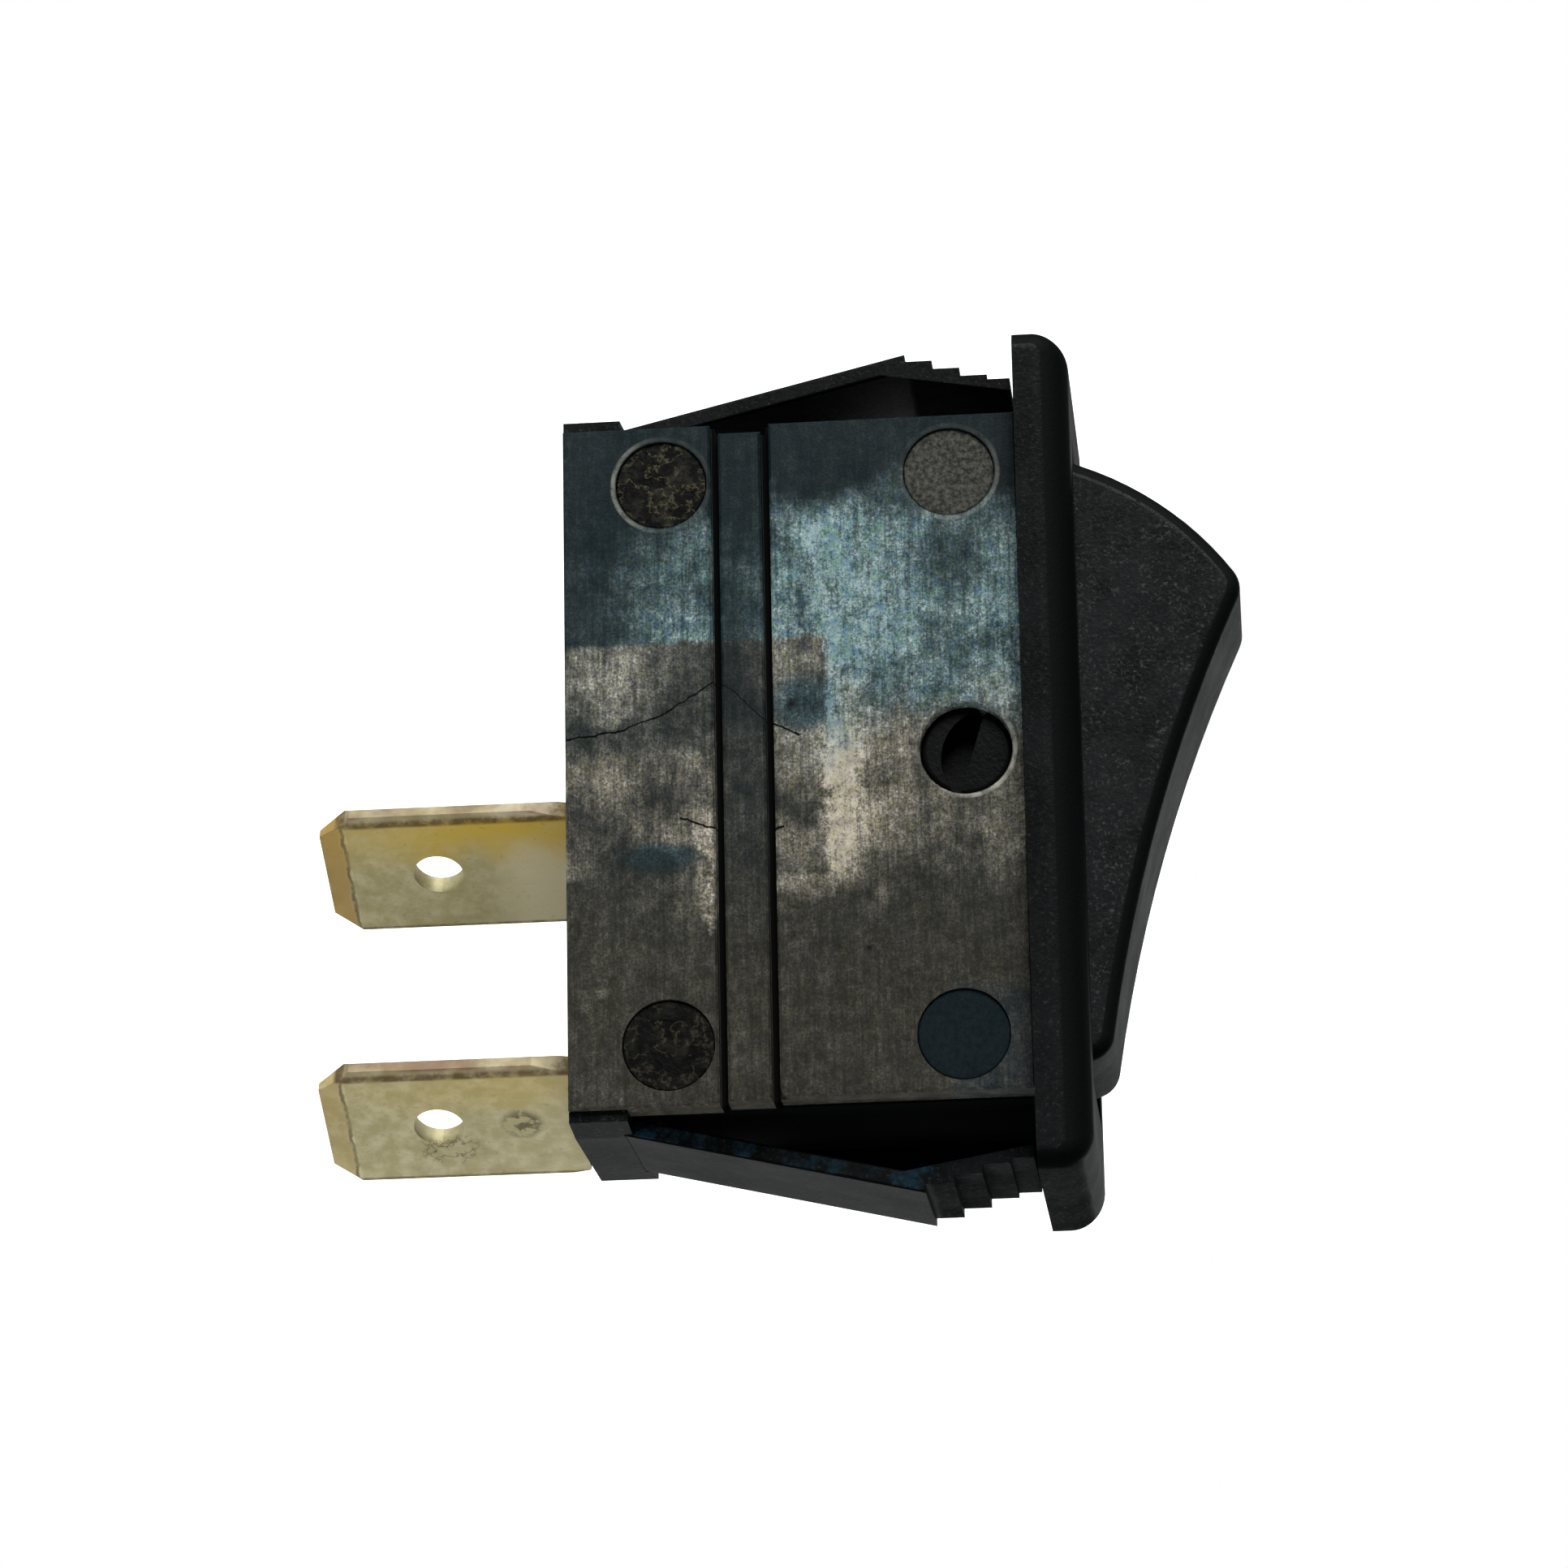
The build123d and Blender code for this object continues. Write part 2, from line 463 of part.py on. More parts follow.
# ---- terminals: plug-on tab, twisted neck through the rear wall and upright inside ----
tab_top = -BODY_DEPTH - TAB_GAP
with BuildPart() as flat_tab:
    tab_length = tab_top - TAB_TIP_Z
    half_thickness = TAB_THICKNESS / 2
    left, right = TAB_OFFSET - TAB_WIDTH / 2, TAB_OFFSET + TAB_WIDTH / 2
    with BuildSketch(Plane.XY.offset(TAB_TIP_Z)) as section:
        with Locations((TAB_OFFSET, 0)):
            Rectangle(TAB_WIDTH, TAB_THICKNESS)
        chamfer(section.vertices(), length=TAB_EDGE_BEVEL)
    extrude(amount=tab_length)
    with BuildSketch(Plane.XZ):
        with BuildLine():
            shoulder_z, cut_z = tab_top - TAB_SHOULDER[1], TAB_TIP_Z + TAB_CORNER[1]
            Polyline((left + TAB_SHOULDER[0], tab_top), (right - TAB_SHOULDER[0], tab_top),
                     (right, shoulder_z), (right, cut_z), (right - TAB_CORNER[0], TAB_TIP_Z),
                     (left + TAB_CORNER[0], TAB_TIP_Z), (left, cut_z), (left, shoulder_z),
                     close=True)
        make_face()
        with Locations((TAB_OFFSET, TAB_TIP_Z + TAB_HOLE_FROM_TIP)):
            Circle(TAB_HOLE_RADIUS, mode=Mode.SUBTRACT)
    extrude(amount=TAB_THICKNESS, both=True, mode=Mode.INTERSECT)
    with BuildSketch(Plane.YZ):
        with BuildLine():
            tip_half, bevel_end = half_thickness - TAB_TIP_BEVEL[0], TAB_TIP_Z + TAB_TIP_BEVEL[1]
            Polyline((-half_thickness, tab_top), (half_thickness, tab_top), (half_thickness, bevel_end),
                     (tip_half, TAB_TIP_Z), (-tip_half, TAB_TIP_Z), (-half_thickness, bevel_end),
                     close=True)
        make_face()
    extrude(amount=TAB_WIDTH, both=True, mode=Mode.INTERSECT)


def neck_section(x, z, angle):
    """Plane of the neck's cross-section, turned by angle from square across the switch."""
    turned_by = radians(90 - angle)
    return Plane(origin=(x, 0, z), x_dir=(cos(turned_by), sin(turned_by), 0), z_dir=(0, 0, 1))


def terminal_stem(x, top):
    """Tab, neck, shoulder on the rear wall's inside, and the upright that rises to top."""
    straight_bottom = tab_top + NECK_TWIST_LENGTH
    with BuildPart() as stem:
        with Locations(Location((x, 0, 0), (0, 0, 90 - TAB_TWIST))):
            add(flat_tab.part)
        for step in range(NECK_TWIST_STEPS):
            for share in (step / NECK_TWIST_STEPS, (step + 1) / NECK_TWIST_STEPS):
                twist_z = straight_bottom - NECK_TWIST_LENGTH * share
                with BuildSketch(neck_section(x, twist_z, TAB_TWIST * share)):
                    Rectangle(NECK_WIDTH, TAB_THICKNESS)
            loft()
        for bottom, rise, width in (
                (straight_bottom, REAR_INNER - straight_bottom, NECK_WIDTH),
                (REAR_INNER, TERMINAL_SHOULDER_HEIGHT, TERMINAL_SHOULDER_WIDTH),
                (REAR_INNER, top - REAR_INNER, 2 * BLADE_HALF_WIDTH)):
            with BuildSketch(neck_section(x, bottom, 0)):
                Rectangle(width, TAB_THICKNESS)
            extrude(amount=rise)
    return stem.part


saddle_bottom = FULCRUM_Z - SADDLE_GAP - TAB_THICKNESS
saddle_end = COMMON_X + TAB_THICKNESS / 2
with BuildPart() as common_terminal:
    add(terminal_stem(COMMON_X, saddle_bottom))
    with BuildSketch(Plane.XY.offset(saddle_bottom)):
        with Locations(((saddle_end - SADDLE_HALF_LENGTH) / 2, 0)):
            Rectangle(saddle_end + SADDLE_HALF_LENGTH, 2 * BLADE_HALF_WIDTH)
    extrude(amount=TAB_THICKNESS)
    # Ears in the blade's notches.
    ear_inner = BLADE_NECK_HALF_WIDTH + EAR_GAP
    ear_y = (ear_inner + BLADE_HALF_WIDTH) / 2
    with BuildSketch(Plane.XY.offset(saddle_bottom)):
        with Locations((0, -ear_y), (0, ear_y)):
            Rectangle(EAR_LENGTH, BLADE_HALF_WIDTH - ear_inner)
    extrude(amount=EAR_HEIGHT)
    with BuildSketch(side_plane(BLADE_HALF_WIDTH)):
        with Locations((0, FULCRUM_Z)):
            Circle(BLADE_BEAD_RADIUS + HINGE_CLEARANCE)
    extrude(amount=2 * BLADE_HALF_WIDTH, mode=Mode.SUBTRACT)
save(common_terminal.part, "common_terminal")

shelf_top = CONTACT_SEAT_Z
shelf_bottom = shelf_top - TAB_THICKNESS
shelf_start = CLOSED_X - SHELF_OVERHANG
shelf_end = THROW_X + TAB_THICKNESS / 2
with BuildPart() as throw_terminal:
    add(terminal_stem(THROW_X, shelf_top))
    with BuildSketch(Plane.XY.offset(shelf_bottom)):
        with Locations(((shelf_start + shelf_end) / 2, 0)):
            Rectangle(shelf_end - shelf_start, 2 * BLADE_HALF_WIDTH)
        with Locations((CLOSED_X, 0)):
            Circle(CONTACT_SHANK_RADIUS, mode=Mode.SUBTRACT)
    extrude(amount=TAB_THICKNESS)
save(throw_terminal.part, "throw_terminal")

# ---- fixed contact: rivet in the throw terminal's shelf ----
with BuildPart() as fixed_contact_tip:
    for bottom, height, radius in (
            (shelf_bottom, TAB_THICKNESS, CONTACT_SHANK_RADIUS),
            (shelf_top, CONTACT_HEIGHT, CONTACT_RADIUS),
            (shelf_bottom - RIVET_HEAD_HEIGHT, RIVET_HEAD_HEIGHT, RIVET_HEAD_RADIUS)):
        with BuildSketch(Plane.XY.offset(bottom)):
            with Locations((CLOSED_X, 0)):
                Circle(radius)
        extrude(amount=height)
save(fixed_contact_tip.part, "fixed_contact_tip")

# ---- latch arms: sprung strips with a stepped end behind the bezel ----
arm_half = ARM_THICKNESS / 2
hinge, tip = Vector(*ARM_HINGE), Vector(*ARM_CORNER)
arm_lean = atan2(tip.X - hinge.X, tip.Y - hinge.Y) - asin(arm_half / (tip - hinge).length)
along = Vector(sin(arm_lean), cos(arm_lean))
across = Vector(cos(arm_lean), -sin(arm_lean))
root_inner, root_outer = hinge - across * arm_half, hinge + across * arm_half
arm_outline = [root_inner, root_outer, tip]
step_x, step_z = ARM_CORNER
for drop in RATCHET_DROPS:
    step_x -= drop
    arm_outline.append(Vector(step_x, step_z))
    step_z = min(step_z + RATCHET_PITCH, ARM_END_Z)
    arm_outline.append(Vector(step_x, step_z))
arm_outline.append(Vector(step_x - ARM_END_THICKNESS, step_z))
arm_outline.append(root_inner + along * ((tip - root_outer).length - ARM_KNEE))

for name, side in (("latch_arm_upper", -1), ("latch_arm_lower", 1)):
    with BuildPart() as latch_arm:
        with BuildSketch(side_plane(0)):
            with BuildLine():
                Polyline(*[(side * p.X, p.Y) for p in arm_outline], close=True)
            make_face()
            with Locations((side * hinge.X, hinge.Y)):
                Circle(arm_half)
        extrude(amount=ARM_HALF_WIDTH, both=True)
        long_edges = latch_arm.faces().filter_by(Axis.Y).edges().filter_by(
            lambda e: e.length > (tip - root_outer).length / 2)
        fillet(long_edges, ARM_EDGE_RADIUS)
    save(latch_arm.part, name)
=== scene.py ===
import math

import bpy
from mathutils import Matrix, Vector


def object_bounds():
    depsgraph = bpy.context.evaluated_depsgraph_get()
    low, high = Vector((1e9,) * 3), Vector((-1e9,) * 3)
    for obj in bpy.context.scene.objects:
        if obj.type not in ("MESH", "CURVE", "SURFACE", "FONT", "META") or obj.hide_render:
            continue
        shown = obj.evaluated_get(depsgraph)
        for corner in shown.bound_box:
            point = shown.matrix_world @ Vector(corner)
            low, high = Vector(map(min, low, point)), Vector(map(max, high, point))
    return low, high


# A snap-in rocker switch seen from its side cover. Everything is in metres, in the part's own
# frame: +Z points out of the panel, X runs along the switch, and +Y away from the cover.

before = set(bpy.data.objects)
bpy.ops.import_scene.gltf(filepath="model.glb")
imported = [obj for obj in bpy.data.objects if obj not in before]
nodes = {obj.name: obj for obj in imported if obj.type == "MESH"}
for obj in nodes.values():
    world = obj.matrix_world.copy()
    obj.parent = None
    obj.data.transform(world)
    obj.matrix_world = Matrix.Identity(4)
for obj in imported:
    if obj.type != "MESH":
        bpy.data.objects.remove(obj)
cad_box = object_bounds()

# ---- camera: from the cover's side, a little towards +X, rolled so that +Z points right ----
CAMERA_PLACE = Vector((0.05946, -0.21147, 0.00873))
CAMERA_RIGHT = Vector((0.01854, 0.09271, 0.99552))
CAMERA_AHEAD = Vector((-0.27138, 0.95878, -0.08423))
CAMERA_LENS = 127.6
CAMERA_SENSOR = 36
CAMERA_CLIP = (0.01, 20)

# ---- floor, surround and lamps ----
FLOOR_SIZE = (3.0, 3.0)
FLOOR_FRONT = 0.03  # reaches this far towards the camera
FLOOR_GAP = 0.0005  # lies this far below the switch
FLOOR_GLOW = 0.95
STUDIO_FADE = (0.45, 0.95, 0.03, 0.42)  # along Y, from where to where; and the strengths there
SUNS = (  # name, where it is, strength, spread in degrees, and whether reflections show it
    ("key", (-0.78, -0.6, 0.17), 3.0, 30, True),
    ("fill", (0.93, -0.2, 0.25), 1.7, 50, False),
    ("back", (-0.1, 0.75, 0.65), 3.0, 40, False),
)

# ---- places on the plastic ----
PIVOT_Z = -0.0023            # the key's axle
AXLE_RADIUS = 0.0018
AXLE_END_Y = -0.0038         # the end that shows in the cover's hole is nearer than this
LOWER_ARM_X = 0.0140         # of the two latch arms, only the lower one is past this
SHORT_WALL_X = 0.0133        # the housing's short walls, at either end
SHORT_WALL_Z = (-0.0155, -0.0003)
STEPS_Z = -0.0047            # the latch arms are stepped from here to the bezel

# ---- the cover: grooves beside its raised band, as Z of the middle and half the width ----
GROOVES = ((-0.0119, 0.00017), (-0.0099, 0.00017))
BAND_Z = (-0.01195, -0.0100)
BAND_SOFT = 0.00015

# ---- marks on the cover ----
LABEL_X = 0.0046   # an old label's outline reaches this far either side of the middle
LABEL_Z = -0.0078  # and from the rear edge to here
LABEL_SOFT = 0.0003
SHEEN_RIDGE_Z = -0.0075  # the brightest line of bloom and painted sheen, a painted reflection of the light, and how far it fades to either side
SHEEN_RIDGE_REACH = 0.0011
FRONT_CORNER = (0.0088, -0.0036)  # X and Z where the blue corner by the last peg starts
BLOOM_AND_SHEEN_SPOTS = (  # spots of bloom and painted sheen: X, Z and reach along each; and strength
    ((0.0014, -0.0072, 0.0038, 0.0011), 0.75),
    ((-0.0090, -0.0077, 0.0013, 0.0013), 0.6),
    ((-0.0052, -0.0056, 0.0026, 0.0022), 0.35),
    ((-0.0030, -0.0005, 0.0034, 0.0010), 0.3),
    ((0.0042, -0.0125, 0.0024, 0.0005), 0.4),
    ((0.0058, -0.0123, 0.0016, 0.0003), 0.5),
    ((0.0092, -0.0165, 0.0008, 0.0005), 0.18),
)
STAINS = ((-0.0021, -0.0086, 0.0014, 0.0017), (0.0039, -0.0143, 0.0008, 0.0020))
PITS = ((-0.0031, -0.0043, 0.00016), (0.0078, -0.0062, 0.0003), (-0.00206, -0.0090, 0.0004))
RIM_GAP = 0.00012  # the painted highlight on each rim lies this far outside its hole
LIT_RIMS = (  # painted highlights on the holes' rims: X and Z of the hole, its radius, the way the bright arc faces, and its brightness
    ((0.0, PIVOT_Z), 0.0018, (0.6, 0.8), 0.8),
    ((-0.0113, -0.0140), 0.0018, (0.1, -1.0), 0.4),
    ((-0.0113, -0.00267), 0.0018, (0.7, 0.7), 0.3),
)
CRACKS = (  # width, then X and Z of each bend, in order of Z
    (0.00006, ((-0.00102, -0.01786), (-0.00116, -0.01665), (-0.00131, -0.01554), (-0.00166, -0.01458),
               (-0.00226, -0.01346), (-0.00275, -0.01266), (-0.00318, -0.01195))),
    (0.00004, ((-0.00318, -0.01195), (-0.0026, -0.0112), (-0.0020, -0.0106), (-0.0015, -0.0100))),
    (0.00006, ((-0.00155, -0.01005), (-0.00127, -0.00967), (-0.00108, -0.0092), (-0.00083, -0.00873))),
    (0.00007, ((0.00232, -0.01343), (0.00253, -0.01299), (0.00266, -0.01242), (0.00274, -0.01195))),
    (0.00009, ((0.00304, -0.0100), (0.00285, -0.0094))),
)

# ---- the pegs: rear and front pairs part here, and so do those towards -X and +X ----
PEG_FRONT_Z = -0.009
PEG_MIDDLE_X = -0.001

# ---- the plug-on tabs: the way their width runs, where it starts for each, and the width ----
TAB_TURN = (0.5, 0.866)
TAB_SIDES = (-0.00175, 0.00338)
TAB_WIDTH = 0.0063
TAB_SPLIT_X = 0.0070   # the tab at the end lies past this
TAB_ROOT_Z = -0.0222
TAB_BEVEL_Z = -0.0270
CORROSION = ((0.01295, -0.0204, 0.0005, 0.0010), (0.01360, -0.0234, 0.0006, 0.0016))

# ---- tints for greys ----
COOL = (0.72, 1.05, 1.12)
WARM = (1.14, 1.02, 0.78)
PALE_GREEN = (0.95, 1.05, 0.95)
NEUTRAL = (1.0, 1.0, 1.0)


def rgb(red, green, blue):
    return (red, green, blue, 1.0)


def grey(value, tint=NEUTRAL):
    return rgb(*(value * share for share in tint))


# ---- colours ----
BLACK = rgb(0.0004, 0.0005, 0.0006)
MOTTLE_BLUE = rgb(0.009, 0.036, 0.058)
# bloom colours, which also serve as painted sheen
BLOOM_SHEEN_BLUE, BLOOM_SHEEN_GREEN, BLOOM_SHEEN_PALE = rgb(0.13, 0.24, 0.32), rgb(0.19, 0.32, 0.26), rgb(0.40, 0.53, 0.54)
BLOOM_SHEEN_BROWN, BLOOM_SHEEN_OLIVE, BLOOM_SHEEN_CREAM = rgb(0.31, 0.27, 0.23), rgb(0.36, 0.33, 0.19), rgb(0.62, 0.57, 0.47)
STAIN_BLUE = rgb(0.05, 0.16, 0.21)
GROUND_TEAL, GROUND_BROWN = rgb(0.0035, 0.009, 0.011), rgb(0.0125, 0.0135, 0.0105)
GROUND_CORNER = rgb(0.006, 0.014, 0.019)
# painted highlight colours: glints on the cover and the bright arcs on the holes' rims
GLINT, RIM_HIGHLIGHT = rgb(0.8, 0.77, 0.66), rgb(0.42, 0.42, 0.36)
PEG_HOLLOW, PEG_BROKEN, PEG_RIDGE = rgb(0.0008, 0.0012, 0.001), rgb(0.028, 0.028, 0.02), rgb(0.13, 0.11, 0.06)
PEG_GRITTY = rgb(0.018, 0.022, 0.02), rgb(0.115, 0.11, 0.09)
PEG_SMOOTH = rgb(0.003, 0.0085, 0.011), rgb(0.008, 0.016, 0.02)
PLATE_DULL, PLATE_BRIGHT, PLATE_PAINTED_LIGHT = rgb(0.38, 0.345, 0.18), rgb(0.51, 0.47, 0.295), rgb(0.66, 0.61, 0.42)
MUSTARD, TIP_BROWN, SIDE_BROWN = rgb(0.58, 0.40, 0.035), rgb(0.40, 0.25, 0.06), rgb(0.20, 0.12, 0.07)
EDGE_DARK, CORRODED = rgb(0.075, 0.042, 0.014), rgb(0.07, 0.06, 0.025)
PLATE_PIT, PLATE_SCRATCH = rgb(0.14, 0.11, 0.05), rgb(0.25, 0.22, 0.15)
BRASS, STEEL, SILVER = rgb(0.83, 0.66, 0.32), rgb(0.6, 0.6, 0.62), rgb(0.85, 0.83, 0.78)
ACETAL = rgb(0.72, 0.7, 0.62), rgb(0.8, 0.78, 0.72)
FLOOR_PALE = rgb(0.86, 0.86, 0.86), rgb(0.9, 0.9, 0.9)


class Graph:
    """A material's node tree, with short calls for what the finishes here need."""

    def __init__(self, name):
        self.material = bpy.data.materials.new(name)
        self.material.use_nodes = True
        self.tree = self.material.node_tree
        self.shader = self.tree.nodes["Principled BSDF"]
        coordinates = self.node("ShaderNodeTexCoord").outputs
        self.place = coordinates["Object"]
        self.direction = coordinates["Normal"]

    def node(self, kind, **settings):
        made = self.tree.nodes.new(kind)
        for key, value in settings.items():
            setattr(made, key, value)
        return made

    def feed(self, socket, value):
        """Links the value where it is another node's output, or else sets it."""
        if isinstance(value, bpy.types.NodeSocket):
            self.tree.links.new(value, socket)
        else:
            socket.default_value = value

    # ---- arithmetic ----
    def math(self, operation, a, b=0.0):
        made = self.node("ShaderNodeMath", operation=operation)
        self.feed(made.inputs[0], a)
        self.feed(made.inputs[1], b)
        return made.outputs["Value"]

    def plus(self, a, b):
        return self.math("ADD", a, b)

    def minus(self, a, b):
        return self.math("SUBTRACT", a, b)

    def product(self, *values):
        result = values[0]
        for value in values[1:]:
            result = self.math("MULTIPLY", result, value)
        return result

    def most(self, *values):
        """The largest of the values."""
        result = values[0]
        for value in values[1:]:
            result = self.math("MAXIMUM", result, value)
        return result

    def off(self, value, middle):
        """How far the value is from the middle, to either side."""
        return self.math("ABSOLUTE", self.minus(value, middle))

    def remap(self, value, low, high, to_low=0.0, to_high=1.0):
        """The value's run from low to high brought smoothly to the run from to_low to to_high."""
        made = self.node("ShaderNodeMapRange", clamp=True, interpolation_type="SMOOTHSTEP")
        self.feed(made.inputs["Value"], value)
        made.inputs["From Min"].default_value = low
        made.inputs["From Max"].default_value = high
        self.feed(made.inputs["To Min"], to_low)
        self.feed(made.inputs["To Max"], to_high)
        return made.outputs["Result"]

    def past(self, value, edge, soft):
        """0 up to the edge, and 1 from soft beyond it."""
        return self.remap(value, edge, edge + soft)

    def before(self, value, edge, soft, peak=1.0):
        """The peak up to the edge, and 0 from soft beyond it."""
        return self.remap(value, edge, edge + soft, peak, 0.0)

    def blend(self, share, a, b):
        """From value a to value b as share goes from 0 to 1."""
        made = self.node("ShaderNodeMix", data_type="FLOAT")
        self.feed(made.inputs["Factor"], share)
        self.feed(made.inputs["A"], a)
        self.feed(made.inputs["B"], b)
        return made.outputs["Result"]

    def mix(self, share, a, b):
        """From colour a to colour b as share goes from 0 to 1."""
        made = self.node("ShaderNodeMix", data_type="RGBA")
        self.feed(made.inputs["Factor"], share)
        self.feed(made.inputs["A"], a)
        self.feed(made.inputs["B"], b)
        return made.outputs["Result"]

    # ---- places on the surface ----
    def split(self, vector, name):
        parts = self.node("ShaderNodeSeparateXYZ")
        self.feed(parts.inputs["Vector"], vector)
        return parts.outputs[name]

    def axis(self, name):
        return self.split(self.place, name)

    def facing(self, name):
        """1 where a face looks straight along the axis, 0 square to it, and -1 the other way."""
        return self.split(self.direction, name)

    def facing_near(self):
        """1 where a face looks straight along -Y, the cover's side."""
        return self.product(self.facing("Y"), -1.0)

    def edges(self):
        """1 on roundings that lie between the side facing -Y and the other faces."""
        facing = self.facing_near()
        return self.product(self.remap(facing, 0.12, 0.3), self.remap(facing, 0.965, 0.99, 1.0, 0.0))

    def reach(self, x, z, reach_x=1.0, reach_z=1.0):
        """How far a point is from the line along Y through x, z, in units of the two reaches."""
        across = self.math("DIVIDE", self.minus(self.axis("X"), x), reach_x)
        up = self.math("DIVIDE", self.minus(self.axis("Z"), z), reach_z)
        return self.math("SQRT", self.plus(self.product(across, across), self.product(up, up)))

    def spot(self, x, z, reach_x, reach_z, soft):
        """1 in the middle of a ragged oval round x, z, fading to 0 at its rim."""
        away = self.reach(x, z, reach_x, reach_z)
        ragged = self.plus(self.product(away, away), self.product(self.noise(0.0009, 3.0), 0.5))
        return self.before(ragged, 1.25 - soft, soft)

    # ---- patterns ----
    def stretched(self, scale):
        """Object coordinates scaled per axis, so that a pattern runs longer one way."""
        mapping = self.node("ShaderNodeMapping")
        mapping.inputs["Scale"].default_value = scale
        self.feed(mapping.inputs["Vector"], self.place)
        return mapping.outputs["Vector"]

    def noise(self, size, detail=4.0, roughness=0.55, where=None, distortion=0.0):
        """Noise whose features are about size metres across."""
        made = self.node("ShaderNodeTexNoise")
        made.inputs["Scale"].default_value = 1 / size
        made.inputs["Detail"].default_value = detail
        made.inputs["Roughness"].default_value = roughness
        made.inputs["Distortion"].default_value = distortion
        self.feed(made.inputs["Vector"], where or self.place)
        return made.outputs["Fac"]

    def wander(self, pattern, spread):
        """The pattern brought to lie about 0, so that it shifts a line to either side."""
        return self.product(self.minus(pattern, 0.5), spread)

    def creases(self, size, width, on_line, off_line):
        """Crooked lines, where a noise passes its middle."""
        return self.remap(self.off(self.noise(size, 4.0, 0.6), 0.5), 0.0, width, on_line, off_line)

    # ---- shader ----
    def bump(self, height, distance, strength, below=None):
        made = self.node("ShaderNodeBump")
        made.inputs["Distance"].default_value = distance
        made.inputs["Strength"].default_value = strength
        self.feed(made.inputs["Height"], height)
        if below is not None:
            self.feed(made.inputs["Normal"], below)
        return made.outputs["Normal"]

    def finish(self, colour, roughness, normal=None, **constants):
        self.feed(self.shader.inputs["Base Color"], colour)
        self.feed(self.shader.inputs["Roughness"], roughness)
        if normal is not None:
            self.feed(self.shader.inputs["Normal"], normal)
        for key, value in constants.items():
            self.shader.inputs[key.replace("_", " ")].default_value = value
        return self.material


# ---- moulded black: housing and latch arms ----
def moulded_surface(g):
    """Matt black nylon with a fine spark-eroded grain, rubbed cloudy patches, pale specks and
    rounded edges darkened with painted shade. End faces towards +X are rougher and duller at the front.
    Returns the colour, the roughness and the grain."""
    grain = g.noise(0.00016, 3.0, 0.6)
    patches = g.noise(0.004, 4.0, 0.6)
    fibres = g.noise(0.00025, 3.0, 0.7, g.stretched((0.5, 1.0, 1.0)))
    specks = g.remap(g.noise(0.00020, 3.0, 0.75), 0.55, 0.7)
    base = g.mix(g.remap(patches, 0.35, 0.65), grey(0.0020, COOL), grey(0.0055, COOL))
    base = g.mix(g.remap(fibres, 0.5, 0.72, 0.0, 0.4), base, grey(0.014, WARM))
    colour = g.mix(g.product(specks, 0.4), base, grey(0.06))
    # painted shade: the roundings between the cover's side and the other faces are darkened
    edges = g.edges()
    colour = g.mix(edges, colour, grey(0.0016, COOL))
    front_end = g.product(g.remap(g.facing("X"), 0.5, 0.9), g.past(g.axis("Z"), STEPS_Z, 0.0007))
    dull = g.product(front_end, g.remap(patches, 0.3, 0.7, 0.92, 0.72))
    rough = g.most(g.remap(patches, 0.3, 0.7, 0.42, 0.52), g.product(edges, 0.7), dull)
    return colour, rough, grain


def finish_moulded(g, colour, rough, grain):
    return g.finish(colour, rough, g.bump(grain, 0.00003, 0.6), Specular_IOR_Level=0.12)


def housing_black():
    """Moulded black, rougher on the short walls behind the latch arms and darkened there with painted shade.
    """
    g = Graph("housing_black")
    colour, rough, grain = moulded_surface(g)
    z = g.axis("Z")
    wall = g.past(g.off(g.axis("X"), 0.0), SHORT_WALL_X, 0.0002)
    painted_shade_behind_arms = g.product(wall, g.past(z, SHORT_WALL_Z[0], 0.0005), g.before(z, SHORT_WALL_Z[1], 0.0002))
    # painted shade on the short walls, where the latch arms shade them
    colour = g.mix(painted_shade_behind_arms, colour, grey(0.0015, COOL))
    return finish_moulded(g, colour, g.most(rough, g.product(painted_shade_behind_arms, 0.95)), grain)


def arm_black():
    """Moulded black, with a bluish mottle on the cover's side of the lower arm, behind its steps."""
    g = Graph("moulded_black")
    colour, rough, grain = moulded_surface(g)
    blot = g.product(g.remap(g.noise(0.0012, 5.0, 0.7), 0.42, 0.62), g.past(g.axis("X"), LOWER_ARM_X, 0.0002),
                     g.remap(grain, 0.3, 0.6, 0.4, 1.0), g.remap(g.axis("Z"), -0.0045, -0.0035, 1.0, 0.1))
    near_side = g.remap(g.facing_near(), 0.8, 0.95)
    colour = g.mix(g.product(blot, near_side, 0.8), colour, MOTTLE_BLUE)
    return finish_moulded(g, colour, rough, grain)


